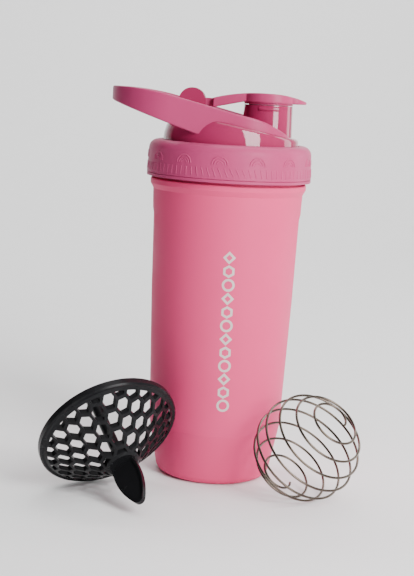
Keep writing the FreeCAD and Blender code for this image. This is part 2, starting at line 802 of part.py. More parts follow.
# ---------------------------------------------------------------- flip cap

def build_flip_cap():
    """The cap: a long crowned plate, a collar over the spout, a neck and a knuckle."""
    pivot, level = hinge_reach, hinge_height
    start = size.cap_arm_start - pivot
    tip = spout_centre + size.cap_tab_reach
    under = level + size.cap_under
    disc_radius = size.spout_radius + size.cap_overhang
    side = padded("cap_side", "XZ_Plane", [
        (start, level - size.cap_arm_under),
        (start + size.cap_arm_run, under),
        (tip, under),
        (tip, level + size.cap_tip_top, size.cap_tip_curve),
        (spout_centre, level + size.cap_crown, size.cap_crown_radius),
        (start, level + size.cap_arm_top),
    ], disc_radius * 2 + OVERRUN)
    tall = size.cap_crown * 4
    low = level - tall / 2
    half_arm = size.cap_arm_width / 2
    disc = primitive("Cylinder", "cap_disc", at=(spout_centre, 0.0, low),
                     Radius=disc_radius, Height=tall)
    arm = primitive("Box", "cap_arm", at=(start, -half_arm, low),
                    Length=spout_centre - start, Width=size.cap_arm_width, Height=tall)
    tab_centre = tip - size.cap_tab_radius
    tab_end = primitive("Cylinder", "cap_tab_end", at=(tab_centre, 0.0, low),
                        Radius=size.cap_tab_radius, Height=tall)
    tab = primitive("Box", "cap_tab", at=(spout_centre, -size.cap_tab_radius, low),
                    Length=tab_centre - spout_centre, Width=size.cap_tab_radius * 2,
                    Height=tall)
    sharp = common("cap_plate", side, fuse("cap_plan", disc, arm, tab_end, tab))
    plate = soften("cap_smooth", sharp, size.cap_round)
    collar = primitive("Cylinder", "cap_collar",
                       at=(spout_centre, 0.0, spout_rim + size.cap_gap),
                       Radius=size.spout_radius,
                       Height=under - spout_rim - size.cap_gap + OVERRUN / 2)
    width = size.ear_span - size.ear_thick * 2 - size.ear_gap * 2
    knuckle = primitive("Cylinder", "cap_knuckle", turn=ALONG_Y, at=(-pivot, -width / 2, level),
                        Radius=knuckle_radius, Height=width)
    neck = primitive("Box", "cap_neck",
                     at=(-pivot, -size.cap_neck_width / 2, level - size.cap_neck_thick / 2),
                     Length=size.cap_arm_start + OVERRUN * 2, Width=size.cap_neck_width,
                     Height=size.cap_neck_thick)
    bore = primitive("Cylinder", "cap_bore", turn=ALONG_Y, at=(-pivot, -width, level),
                     Radius=size.pin_radius + size.pin_gap, Height=width * 2)
    return cut("flip_cap", fuse("cap_solid", plate, collar, knuckle, neck), bore)


def build_spout_seal():
    """The soft cup-shaped plug that the cap presses into the spout."""
    outer = spout_bore - size.seal_gap
    top = spout_rim + size.cap_gap
    foot = top - size.seal_depth
    body = turned("spout_seal", [
        (0.0, top),
        (0.0, top - size.seal_wall / 2),
        (outer - size.seal_wall, top - size.seal_wall / 2),
        (outer - size.seal_wall, foot),
        (outer - size.seal_lead_in, foot),
        (outer, foot + size.seal_lead_rise),
        (outer, top),
    ])
    return place(body, spout_centre, 0.0, 0.0)


# ---------------------------------------------------------------- strainer

rim_radius = neck_inside - size.rim_gap


def honeycomb():
    """Hexagonal prisms on a triangular grid."""
    pitch = size.cell_width.value + size.cell_web.value
    corner = size.cell_width.value / math.sqrt(3)
    tall = size.cone_depth.value + size.cone_thick.value
    angles = [math.radians(60 * step + 30) for step in range(7)]
    count = int(rim_radius.value / pitch) + 1
    cells = []
    for row in range(-count, count + 1):
        for column in range(-count, count + 1):
            x = pitch * (column + 0.5 * (row % 2))
            y = pitch * row * math.sqrt(3) / 2
            if math.hypot(x, y) > rim_radius.value:
                continue
            points = [Vector(x + corner * math.cos(a), y + corner * math.sin(a), -tall) for a in angles]
            cells.append(Part.Face(Part.makePolygon(points)).extrude(UP * tall))
    return Part.makeCompound(cells)


def build_strainer():
    """A rim, a honeycomb cone, a post with a knob on top and a leaf grip below."""
    inner = rim_radius - size.rim_wall
    depth = size.cone_depth
    thick = size.cone_thick
    basket = turned("strainer_basket", [
        (0.0, -depth - thick / 2),
        (size.hub_radius, -depth - thick / 2),
        (inner, -size.rim_height),
        (rim_radius - size.rim_edge, -size.rim_height),
        (rim_radius, size.rim_edge - size.rim_height),
        (rim_radius, 0.0),
        (inner, 0.0),
        (inner, thick - size.rim_height),
        (size.hub_radius, thick / 2 - depth),
        (0.0, thick / 2 - depth),
    ])
    cells = doc.addObject("Part::Feature", "strainer_cells")
    cells.Shape = honeycomb()
    zone = turned("strainer_cell_zone", [
        (size.hub_radius + size.cell_margin, -depth - thick),
        (inner - size.cell_margin, -depth - thick),
        (inner - size.cell_margin, 0.0),
        (size.hub_radius + size.cell_margin, 0.0),
    ])
    mesh = cut("strainer_mesh", basket, common("strainer_holes", cells, zone))
    post = primitive("Cylinder", "strainer_post", at=(0.0, 0.0, -depth),
                     Radius=size.post_radius, Height=depth + size.post_top)
    knob = primitive("Cylinder", "strainer_knob", at=(0.0, 0.0, size.post_top - size.knob_height),
                     Radius=size.knob_radius, Height=size.knob_height)
    return lay_strainer(fuse("strainer_solid", mesh, post, knob, build_leaf()))


def leaf_outline(inset):
    """A leaf set in by inset: a straight root, two bowed sides and a round tip."""
    half = (size.leaf_width / 2 - inset) * 0.9
    tip = size.leaf_tip_radius * 0.9
    root = -size.cone_depth
    low = root - size.leaf_length + inset + size.leaf_tip_radius * 0.6
    return [
        (-half, root, size.leaf_side_curve),
        (-tip, low, size.leaf_tip_radius),
        (tip, low, size.leaf_side_curve),
        (half, root),
    ]


def build_leaf():
    """The leaf grip, with a raised edge round a shallow hollow on both faces."""
    web = size.leaf_thick - size.leaf_recess * 2
    tall = size.cone_depth + size.leaf_length + OVERRUN
    leaf = padded("leaf_blank", "XZ_Plane", leaf_outline(Size.of(0.0)), size.leaf_thick)
    hollow = padded("leaf_hollow", "XZ_Plane", leaf_outline(size.leaf_edge),
                    size.leaf_thick + OVERRUN)
    keep = primitive("Box", "leaf_web", at=(-size.leaf_width, -web / 2, -tall),
                     Length=size.leaf_width * 2, Width=web, Height=tall)
    return cut("leaf", leaf, cut("leaf_sinks", hollow, keep))


def leaning(tilt, heading):
    """The direction that leans from upright by tilt, towards heading."""
    tilt, heading = math.radians(tilt.value), math.radians(heading.value)
    return Vector(math.sin(tilt) * math.cos(heading), math.sin(tilt) * math.sin(heading),
                  math.cos(tilt))


def frame_along(axis, facing):
    """The rotation whose +Z is axis and whose -Y faces as nearly as it can along facing."""
    back = -(facing - axis * facing.dot(axis)).normalize()
    return Rotation(back.cross(axis), back, axis, "ZXY")


def lay_on_floor(name, source, turn, distance, bearing):
    """A turned copy of a shape, beside the cup, with its lowest point just above the floor."""
    doc.recompute()
    shape = source.Shape.copy()
    shape.Placement = Placement(Vector(), turn).multiply(shape.Placement)
    lowest = shape.optimalBoundingBox(False).ZMin
    item = doc.addObject("Part::Feature", name)
    item.Shape = source.Shape.copy()
    way = math.radians(bearing.value)
    centre = Vector(distance.value * math.cos(way), distance.value * math.sin(way),
                    size.floor_clearance.value - lowest)
    item.Placement = Placement(centre, turn).multiply(source.Shape.Placement)
    return item


def lay_strainer(solid):
    """Rest the strainer on its leaf and its rim, left of the cup."""
    axis = leaning(size.strainer_tilt, size.strainer_heading)
    turn = frame_along(axis, Vector(0, -1, 0))
    cup_beside = size.kink_radius + wall_slope * rim_radius
    distance = cup_beside + rim_radius + size.strainer_gap
    return lay_on_floor("strainer", solid, turn, distance, size.strainer_bearing)


# ---------------------------------------------------------------- whisk ball

ARCS_PER_TURN = 12


def arc_from(start, corner, end):
    """The arc from start to end that is tangent to the lines to corner at both of its ends."""
    middle = (start + end) * 0.5
    rise = (middle - corner).Length
    reach = (corner - start).Length
    radius = (end - start).Length / 2 * reach / rise
    bulge = math.hypot(reach, radius) - radius
    return Part.Arc(start, corner + (middle - corner) * (bulge / rise), end)


def two_arcs(start, start_way, end, end_way):
    """Two tangent arcs that join two points in given directions."""
    gap = end - start
    ways = start_way + end_way
    square = 2 * (1 - start_way.dot(end_way))
    along = gap.dot(ways)
    reach = (math.sqrt(along * along + square * gap.dot(gap)) - along) / square
    first = start + start_way * reach
    last = end - end_way * reach
    joint = (first + last) * 0.5
    return [arc_from(start, first, joint), arc_from(joint, last, end)]


def spiral_point(turned_by):
    """A point and a direction on the spherical spiral, for a fraction of its whole run."""
    start = math.radians(size.ball_end.value)
    total = 2 * math.pi * size.ball_turns.value
    fall = math.pi - 2 * start
    radius = size.ball_radius.value
    polar = start + fall * turned_by
    around = total * turned_by
    point = Vector(math.sin(polar) * math.cos(around), math.sin(polar) * math.sin(around),
                   math.cos(polar)) * radius
    way = Vector(
        fall * math.cos(polar) * math.cos(around) - total * math.sin(polar) * math.sin(around),
        fall * math.cos(polar) * math.sin(around) + total * math.sin(polar) * math.cos(around),
        -fall * math.sin(polar),
    ).normalize()
    return point, way


def build_whisk_ball():
    """One wire wound on a sphere, as a chain of tangent arcs."""
    steps = int(round(size.ball_turns.value * ARCS_PER_TURN / 2))
    stops = [spiral_point(step / steps) for step in range(steps + 1)]
    arcs = []
    for (start, start_way), (end, end_way) in zip(stops, stops[1:]):
        arcs += two_arcs(start, start_way, end, end_way)
    path = Part.Wire([arc.toShape() for arc in arcs])
    point, way = stops[0]
    section = Part.Wire(Part.Circle(point, way, size.wire_radius.value).toShape())
    wire = doc.addObject("Part::Feature", "ball_wire")
    wire.Shape = path.makePipeShell([section], True, True)
    axis = leaning(size.ball_tilt, size.ball_heading)
    turn = frame_along(axis, Vector(0, -1, 0))
    distance = size.kink_radius + size.ball_radius + size.wire_radius + size.ball_gap
    return lay_on_floor("whisk_ball", wire, turn, distance, size.ball_bearing)


# ---------------------------------------------------------------- assembly

def build_all():
    """Every sub-part, by node name."""
    dome, spout, lid_core = build_lid_core()
    return {
        "outer_shell": build_outer_shell(),
        "inner_liner": build_inner_liner(),
        "base_plate": build_base_plate(),
        "vacuum_getter": build_vacuum_getter(),
        "lid_gasket": build_lid_gasket(),
        "lid_core": lid_core,
        "collar_band": build_collar_band(),
        "carry_loop": build_carry_loop(dome, spout),
        "hinge_pin": build_hinge_pin(),
        "flip_cap": build_flip_cap(),
        "spout_seal": build_spout_seal(),
        "strainer": build_strainer(),
        "whisk_ball": build_whisk_ball(),
    }


def check_document():
    """Stop if any object failed, or has no sound shape."""
    for item in doc.Objects:
        if "Invalid" in item.State or "Error" in item.State:
            raise RuntimeError(f"{item.Name} failed: {item.State}")


def export(parts):
    """Write each sub-part to its own file."""
    os.makedirs("parts", exist_ok=True)
    for node, item in parts.items():
        item.Label = node
        if item.Shape.isNull() or not item.Shape.isValid():
            raise RuntimeError(f"{node} has no valid shape")
        if len(item.Shape.Solids) != 1:
            raise RuntimeError(f"{node} has {len(item.Shape.Solids)} solids")
        item.Shape.exportStep(f"parts/{node}.step")
        print(f"{node}: {item.Shape.Volume / 1000:.2f} cm3, {len(item.Shape.Faces)} faces")


parts = build_all()
doc.recompute()
check_document()
export(parts)
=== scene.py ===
import logging
import math
from collections.abc import Callable
from dataclasses import dataclass
from enum import Enum
from typing import ClassVar

import bpy
from mathutils import Matrix, Vector


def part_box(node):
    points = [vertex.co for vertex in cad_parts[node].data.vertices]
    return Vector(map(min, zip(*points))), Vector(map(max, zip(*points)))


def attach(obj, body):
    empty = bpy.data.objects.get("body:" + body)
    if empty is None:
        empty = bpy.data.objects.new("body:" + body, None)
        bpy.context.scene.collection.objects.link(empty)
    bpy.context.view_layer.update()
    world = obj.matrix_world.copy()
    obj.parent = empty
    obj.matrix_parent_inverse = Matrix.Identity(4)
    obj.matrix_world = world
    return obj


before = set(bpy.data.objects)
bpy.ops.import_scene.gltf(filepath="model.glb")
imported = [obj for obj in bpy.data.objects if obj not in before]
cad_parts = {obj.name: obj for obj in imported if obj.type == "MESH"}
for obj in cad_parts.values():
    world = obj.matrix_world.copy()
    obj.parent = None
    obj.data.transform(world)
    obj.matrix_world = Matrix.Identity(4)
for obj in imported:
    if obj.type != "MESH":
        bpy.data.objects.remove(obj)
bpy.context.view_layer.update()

log = logging.getLogger("shaker")

MM = 0.001
DUST_COLOUR = (0.75, 0.72, 0.7, 1.0)
RUB_ROUGHNESS = 0.08

Point = tuple[float, float, float]


# ---------------------------------------------------------------- shared tools

def deselect_all() -> None:
    """Leave edit mode and clear the selection."""
    if bpy.context.object and bpy.context.object.mode != "OBJECT":
        bpy.ops.object.mode_set(mode="OBJECT")
    bpy.ops.object.select_all(action="DESELECT")


def activate(piece: bpy.types.Object) -> None:
    """Select one object alone and make it active.

    Args:
        piece: The object to work on.
    """
    deselect_all()
    piece.select_set(True)
    bpy.context.view_layer.objects.active = piece


def settle(piece: bpy.types.Object) -> bpy.types.Object:
    """Put an object's place into its mesh, so that the object itself stands at the origin.

    Args:
        piece: A finished object.

    Returns:
        The same object.
    """
    activate(piece)
    bpy.ops.object.transform_apply(location=True, rotation=True, scale=True)
    return piece


def duplicate(piece: bpy.types.Object) -> bpy.types.Object:
    """Copy a modelled piece, with a mesh of its own.

    Args:
        piece: The piece that repeats.

    Returns:
        The copy.
    """
    activate(piece)
    bpy.ops.object.duplicate(linked=False)
    return bpy.context.object


def remove(piece: bpy.types.Object) -> None:
    """Delete a piece that was modelled only to be copied.

    Args:
        piece: The piece.
    """
    activate(piece)
    bpy.ops.object.delete()


def edit_vertices(piece: bpy.types.Object, wanted: Callable[[Vector], bool]) -> None:
    """Enter edit mode with only some vertices selected.

    Args:
        piece: The object to edit.
        wanted: Says of a vertex's place whether it is selected.
    """
    activate(piece)
    bpy.ops.object.mode_set(mode="EDIT")
    bpy.ops.mesh.select_mode(type="VERT")
    bpy.ops.mesh.select_all(action="DESELECT")
    bpy.ops.object.mode_set(mode="OBJECT")
    for vertex in piece.data.vertices:
        vertex.select = wanted(vertex.co)
    bpy.ops.object.mode_set(mode="EDIT")


def join(pieces: list[bpy.types.Object], name: str) -> bpy.types.Object:
    """Join objects into one mesh.

    Args:
        pieces: The objects, at least one.
        name: The joined piece's name.

    Returns:
        The joined object.
    """
    deselect_all()
    for piece in pieces:
        piece.select_set(True)
    bpy.context.view_layer.objects.active = pieces[0]
    if len(pieces) > 1:
        bpy.ops.object.join()
    joined = bpy.context.object
    joined.name = name
    joined.data.name = name
    return settle(joined)


def add_modifier(piece: bpy.types.Object, kind: str, **settings: object) -> None:
    """Add a modifier and apply it at once.

    Args:
        piece: The object to change.
        kind: The modifier's type, such as BEVEL.
        **settings: Values for the modifier's own properties.
    """
    activate(piece)
    modifier = piece.modifiers.new(kind.title(), kind)
    for name, value in settings.items():
        setattr(modifier, name, value)
    bpy.ops.object.modifier_apply(modifier=modifier.name)


def wear(piece: bpy.types.Object, material: bpy.types.Material) -> None:
    """Give a whole object one material.

    Args:
        piece: A new piece or a CAD node.
        material: The finish.
    """
    slots = piece.material_slots
    if not slots:
        piece.data.materials.append(material)
        return
    for slot in slots:
        slot.link = "OBJECT"
        slot.material = material


# ---------------------------------------------------------------- finishes

class Grain(Enum):
    """How a surface's fine texture runs."""

    EVEN = (1.0, 1.0, 1.0)
    ROUND = (0.04, 0.04, 1.0)


def socket(group: bpy.types.NodeTree, name: str, way: str, kind: str,
           value: float | None = None) -> None:
    """Add a named socket to a node group.

    Args:
        group: The group.
        name: The socket's name.
        way: INPUT or OUTPUT.
        kind: The socket's type, such as NodeSocketFloat.
        value: The default value of an input.
    """
    made = group.interface.new_socket(name=name, in_out=way, socket_type=kind)
    if value is not None:
        made.default_value = value


def add_node(tree: bpy.types.NodeTree, kind: str, values: dict[str | int, object] | None = None,
             **settings: object) -> bpy.types.Node:
    """Add a node, then set its own properties and the values of its inputs.

    Args:
        tree: The node tree.
        kind: The node's type, such as ShaderNodeMath.
        values: Values for its inputs, by name or number.
        **settings: Values for its own properties.

    Returns:
        The node.
    """
    node = tree.nodes.new(kind)
    for name, value in settings.items():
        setattr(node, name, value)
    for name, value in (values or {}).items():
        node.inputs[name].default_value = value
    return node


def surface_grain() -> bpy.types.NodeTree:
    """The shared fine texture: a bumped normal, and a slow mottle.

    Returns:
        The node group, built once.
    """
    known = bpy.data.node_groups.get("surface_grain")
    if known:
        return known
    group = bpy.data.node_groups.new("surface_grain", "ShaderNodeTree")
    socket(group, "Stretch", "INPUT", "NodeSocketVector")
    socket(group, "Scale", "INPUT", "NodeSocketFloat", 900.0)
    socket(group, "Depth", "INPUT", "NodeSocketFloat", 0.2)
    socket(group, "Distance", "INPUT", "NodeSocketFloat", 0.0001)
    socket(group, "Normal", "OUTPUT", "NodeSocketVector")
    socket(group, "Mottle", "OUTPUT", "NodeSocketFloat")
    inlet = add_node(group, "NodeGroupInput")
    outlet = add_node(group, "NodeGroupOutput")
    place = add_node(group, "ShaderNodeTexCoord")
    stretched = add_node(group, "ShaderNodeVectorMath", operation="MULTIPLY")
    fine = add_node(group, "ShaderNodeTexNoise", {"Detail": 3.0, "Roughness": 0.55})
    slow = add_node(group, "ShaderNodeTexNoise", {"Scale": 38.0, "Detail": 4.0})
    bump = add_node(group, "ShaderNodeBump")
    link = group.links.new
    link(place.outputs["Object"], stretched.inputs[0])
    link(inlet.outputs["Stretch"], stretched.inputs[1])
    link(stretched.outputs[0], fine.inputs["Vector"])
    link(inlet.outputs["Scale"], fine.inputs["Scale"])
    link(place.outputs["Object"], slow.inputs["Vector"])
    link(inlet.outputs["Depth"], bump.inputs["Strength"])
    link(inlet.outputs["Distance"], bump.inputs["Distance"])
    link(fine.outputs["Fac"], bump.inputs["Height"])
    link(bump.outputs["Normal"], outlet.inputs["Normal"])
    link(slow.outputs["Fac"], outlet.inputs["Mottle"])
    return group


def handling_wear() -> bpy.types.NodeTree:
    """The shared mask of faint rub marks and dust that settles on upward faces.

    Returns:
        The node group, built once.
    """
    known = bpy.data.node_groups.get("handling_wear")
    if known:
        return known
    group = bpy.data.node_groups.new("handling_wear", "ShaderNodeTree")
    socket(group, "Scale", "INPUT", "NodeSocketFloat", 60.0)
    socket(group, "Rub", "OUTPUT", "NodeSocketFloat")
    socket(group, "Dust", "OUTPUT", "NodeSocketFloat")
    inlet = add_node(group, "NodeGroupInput")
    outlet = add_node(group, "NodeGroupOutput")
    place = add_node(group, "ShaderNodeTexCoord")
    streaks = add_node(group, "ShaderNodeTexNoise", {"Detail": 6.0, "Roughness": 0.7, "Distortion": 1.2})
    rub = add_node(group, "ShaderNodeMapRange", {"From Min": 0.55, "From Max": 0.8})
    facing = add_node(group, "ShaderNodeNewGeometry")
    split = add_node(group, "ShaderNodeSeparateXYZ")
    upward = add_node(group, "ShaderNodeMapRange", {"From Min": 0.55, "From Max": 1.0})
    settled = add_node(group, "ShaderNodeMath", operation="MULTIPLY")
    link = group.links.new
    link(place.outputs["Object"], streaks.inputs["Vector"])
    link(inlet.outputs["Scale"], streaks.inputs["Scale"])
    link(streaks.outputs["Fac"], rub.inputs["Value"])
    link(facing.outputs["Normal"], split.inputs["Vector"])
    link(split.outputs["Z"], upward.inputs["Value"])
    link(upward.outputs["Result"], settled.inputs[0])
    link(streaks.outputs["Fac"], settled.inputs[1])
    link(rub.outputs["Result"], outlet.inputs["Rub"])
    link(settled.outputs["Value"], outlet.inputs["Dust"])
    return group


@dataclass(frozen=True)
class Finish:
    """One procedural finish.

    Attributes:
        name: The material's name.
        colour: Main linear colour.
        shade: Second colour, mixed in by the slow mottle.
        smooth: Roughness where the surface is smoothest.
        rough: Roughness where it is roughest.
        metallic: 1 for metal.
        grain_scale: Scale of the fine texture.
        grain_depth: Strength of the fine texture's bump.
        grain: The way the fine texture runs.
        coat: Weight of a clear coat.
        coat_roughness: Roughness of that coat.
        specular: Specular level.
        anisotropy: Stretch of the highlights.
        dust: How much settled dust lightens upward faces.
        subsurface: Weight of the light that scatters under the surface.
        made: The materials made so far, by name. They are kept here because
            the record's own materials are already in the file.
    """

    name: str
    colour: Point
    shade: Point
    smooth: float = 0.4
    rough: float = 0.55
    metallic: float = 0.0
    grain_scale: float = 900.0
    grain_depth: float = 0.15
    grain: Grain = Grain.EVEN
    coat: float = 0.0
    coat_roughness: float = 0.1
    specular: float = 0.5
    anisotropy: float = 0.0
    dust: float = 0.02
    subsurface: float = 0.0
    made: ClassVar[dict[str, bpy.types.Material]] = {}

    def build(self) -> bpy.types.Material:
        """Make the material, or find it if it is already made.

        Returns:
            The material.
        """
        if self.name in self.made:
            return self.made[self.name]
        material = bpy.data.materials.new(self.name)
        self.made[self.name] = material
        material.use_nodes = True
        tree = material.node_tree
        shader = tree.nodes["Principled BSDF"]
        plain = {
            "Metallic": self.metallic,
            "Coat Weight": self.coat,
            "Coat Roughness": self.coat_roughness,
            "Specular IOR Level": self.specular,
            "Anisotropic": self.anisotropy,
            "Subsurface Weight": self.subsurface,
            "Subsurface Scale": 0.002,
        }
        for name, value in plain.items():
            shader.inputs[name].default_value = value
        grain = add_node(tree, "ShaderNodeGroup", {
            "Stretch": self.grain.value, "Scale": self.grain_scale, "Depth": self.grain_depth,
        }, node_tree=surface_grain())
        handling = add_node(tree, "ShaderNodeGroup", node_tree=handling_wear())
        tone = self.mottled(tree, grain.outputs["Mottle"])
        link = tree.links.new
        link(self.dusted(tree, tone, handling.outputs["Dust"]), shader.inputs["Base Color"])
        gloss = add_node(tree, "ShaderNodeMapRange", {
            "From Min": 0.3, "From Max": 0.75, "To Min": self.smooth, "To Max": self.rough})
        rubbed = add_node(tree, "ShaderNodeMath", {1: RUB_ROUGHNESS}, operation="MULTIPLY_ADD")
        link(grain.outputs["Mottle"], gloss.inputs["Value"])
        link(handling.outputs["Rub"], rubbed.inputs[0])
        link(gloss.outputs["Result"], rubbed.inputs[2])
        link(rubbed.outputs["Value"], shader.inputs["Roughness"])
        link(grain.outputs["Normal"], shader.inputs["Normal"])
        return material

    def mottled(self, tree: bpy.types.NodeTree, mask: bpy.types.NodeSocket) -> bpy.types.NodeSocket:
        """Mix the finish's two colours.

        Args:
            tree: The material's node tree.
            mask: The mottle, which drives the mix.

        Returns:
            The mixed colour's socket.
        """
        node = add_node(tree, "ShaderNodeMix", {
            "A": (*self.colour, 1.0), "B": (*self.shade, 1.0)}, data_type="RGBA")
        tree.links.new(mask, node.inputs["Factor"])
        return node.outputs["Result"]

    def dusted(self, tree: bpy.types.NodeTree, tone: bpy.types.NodeSocket,
               mask: bpy.types.NodeSocket) -> bpy.types.NodeSocket:
        """Lighten a colour where dust settles.

        Args:
            tree: The material's node tree.
            tone: The colour's socket.
            mask: The dust mask.

        Returns:
            The dusted colour's socket.
        """
        amount = add_node(tree, "ShaderNodeMath", {1: self.dust}, operation="MULTIPLY")
        node = add_node(tree, "ShaderNodeMix", {"B": DUST_COLOUR}, data_type="RGBA")
        tree.links.new(mask, amount.inputs[0])
        tree.links.new(tone, node.inputs["A"])
        tree.links.new(amount.outputs["Value"], node.inputs["Factor"])
        return node.outputs["Result"]


POWDER_COAT = Finish("matte_coat", (0.76, 0.062, 0.19), (0.71, 0.055, 0.174), smooth=0.44,
                     rough=0.55, grain_scale=1400.0, grain_depth=0.22, specular=0.14)
BASE_COAT = Finish("matte_base_coat", (0.72, 0.058, 0.18), (0.66, 0.052, 0.164), smooth=0.48, rough=0.6,
                   grain_scale=1200.0, grain_depth=0.3, specular=0.25)
SATIN_BAND = Finish("moulded_band", (0.46, 0.052, 0.158), (0.43, 0.047, 0.146), smooth=0.36,
                    rough=0.48, grain_scale=1900.0, grain_depth=0.16, specular=0.18)
SATIN_LOOP = Finish("moulded_loop", (0.42, 0.044, 0.138), (0.39, 0.04, 0.127), smooth=0.28,
                    rough=0.4, grain_scale=1700.0, grain_depth=0.12, specular=0.2)
SATIN_CAP = Finish("moulded_cap", (0.44, 0.048, 0.145), (0.41, 0.043, 0.134), smooth=0.28, rough=0.4,
                   grain_scale=1700.0, grain_depth=0.12, specular=0.2)
GLOSS_LID = Finish("glossy_moulding", (0.33, 0.022, 0.088), (0.31, 0.02, 0.08), smooth=0.05, rough=0.1,
                   grain_scale=300.0, grain_depth=0.02, coat=0.5, coat_roughness=0.02, dust=0.0,
                   specular=0.3)
BARE_STEEL = Finish("brushed_liner", (0.6, 0.59, 0.57), (0.5, 0.49, 0.48), smooth=0.22, rough=0.34,
                    metallic=1.0, grain_scale=2200.0, grain_depth=0.2, grain=Grain.ROUND,
                    anisotropy=0.5)
GETTER_STEEL = Finish("getter_metal", (0.42, 0.41, 0.4), (0.34, 0.33, 0.33), smooth=0.4, rough=0.6,
                      metallic=1.0, grain_scale=1500.0, grain_depth=0.3)
WIRE_STEEL = Finish("polished_wire", (0.15, 0.12, 0.095), (0.075, 0.06, 0.05), smooth=0.12,
                    rough=0.26, metallic=1.0, grain_scale=1800.0, grain_depth=0.08, dust=0.0)
RING_SILICONE = Finish("silicone_ring", (0.72, 0.72, 0.7), (0.66, 0.66, 0.65), smooth=0.5,
                       rough=0.65, grain_scale=1100.0, grain_depth=0.2, subsurface=0.15)
PLUG_SILICONE = Finish("silicone_plug", (0.7, 0.7, 0.69), (0.64, 0.64, 0.63), smooth=0.48,
                       rough=0.62, grain_scale=1000.0, grain_depth=0.2, subsurface=0.15)
BLACK_PLASTIC = Finish("black_moulding", (0.006, 0.006, 0.007), (0.01, 0.01, 0.011), smooth=0.2,
                       rough=0.34, grain_scale=1300.0, grain_depth=0.12, dust=0.01,
                       specular=0.12)
SILVER_PRINT = Finish("printed_silver", (0.66, 0.56, 0.55), (0.6, 0.5, 0.5), smooth=0.32, rough=0.45,
                      metallic=0.2, grain_scale=1600.0, grain_depth=0.15)
STUDIO_FLOOR = Finish("studio_floor", (0.88, 0.88, 0.88), (0.86, 0.86, 0.86), smooth=0.7,
                      rough=0.8, grain_scale=60.0, grain_depth=0.0, dust=0.0, specular=0.1)


# ---------------------------------------------------------------- sub-assemblies

class SubAssembly:
    """A group of pieces that is built and dressed together."""

    finishes: ClassVar[dict[str, Finish]] = {}

    def dress(self) -> None:
        """Give each CAD node of this group its finish."""
        for node, finish in self.finishes.items():
            wear(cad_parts[node], finish.build())
            log.info("dressed %s in %s", node, finish.name)

    def build(self) -> None:
        """Build this group's own pieces. A group with none leaves this as it is."""


class MarkShape(Enum):
    """The plain shapes in the printed row, by their number of sides, in the row's order."""

    DISC = 24
    HEXAGON = 6
    DIAMOND = 4


@dataclass
class Cup(SubAssembly):
    """The steel cup, with a printed row of plain shapes down its front.

    Attributes:
        mark_low: Height of the lowest mark.
        mark_high: Height of the highest mark.
        mark_count: How many marks there are.
        mark_radius: Radius of one mark.
        mark_stroke: Width of a mark's line.
        mark_cuts: Cuts in each of a mark's edges, so that it follows the cup's curve.
        mark_thick: How far the print stands off the cup.
        ink_thick: Thickness of the print itself.
        start_depth: How far in front of the cup's axis the row is laid out.
        foot_across: Sideways place of the row's foot.
        head_across: Sideways place of the row's head.
    """

    mark_low: float = 47.5 * MM
    mark_high: float = 129.5 * MM
    mark_count: int = 12
    mark_radius: float = 3.5 * MM
    mark_stroke: float = 1.25 * MM
    mark_cuts: int = 3
    mark_thick: float = 0.06 * MM
    ink_thick: float = 0.048 * MM
    start_depth: float = 60.0 * MM
    foot_across: float = 4.1 * MM
    head_across: float = 3.0 * MM

    finishes: ClassVar[dict[str, Finish]] = {
        "outer_shell": POWDER_COAT,
        "inner_liner": BARE_STEEL,
        "base_plate": BASE_COAT,
        "vacuum_getter": GETTER_STEEL,
    }

    def mark(self, shape: MarkShape) -> bpy.types.Object:
        """Model one outlined shape, flat at the origin.

        Args:
            shape: The shape.

        Returns:
            A flat outlined face, to be copied.
        """
        deselect_all()
        bpy.ops.mesh.primitive_circle_add(
            vertices=shape.value, radius=self.mark_radius, fill_type="NGON")
        piece = bpy.context.object
        bpy.ops.object.mode_set(mode="EDIT")
        bpy.ops.mesh.select_all(action="SELECT")
        bpy.ops.mesh.inset(thickness=self.mark_stroke, use_boundary=True)
        bpy.ops.mesh.delete(type="FACE")
        bpy.ops.mesh.select_all(action="SELECT")
        bpy.ops.mesh.subdivide(number_cuts=self.mark_cuts)
        bpy.ops.object.mode_set(mode="OBJECT")
        return piece

    def build(self) -> None:
        """Lay the printed row on the cup's front."""
        masters = [self.mark(shape) for shape in MarkShape]
        upright = Matrix.Rotation(math.pi / 2, 4, "X")
        marks = []
        for index in range(self.mark_count):
            along = index / (self.mark_count - 1)
            height = self.mark_low + (self.mark_high - self.mark_low) * along
            across = self.foot_across + (self.head_across - self.foot_across) * along
            copy = duplicate(masters[index % len(masters)])
            copy.matrix_world = Matrix.Translation((across, -self.start_depth, height)) @ upright
            marks.append(copy)
        for master in masters:
            remove(master)
        row = join(marks, "printed_row")
        add_modifier(row, "SHRINKWRAP", target=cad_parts["outer_shell"],
                     wrap_method="PROJECT", use_project_y=True, use_project_z=False,
                     use_negative_direction=True, use_positive_direction=True,
                     offset=self.mark_thick)
        add_modifier(row, "SOLIDIFY", thickness=self.ink_thick, offset=0.0)
        wear(row, SILVER_PRINT.build())
        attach(row, "cup")
        log.info("built %s", row.name)


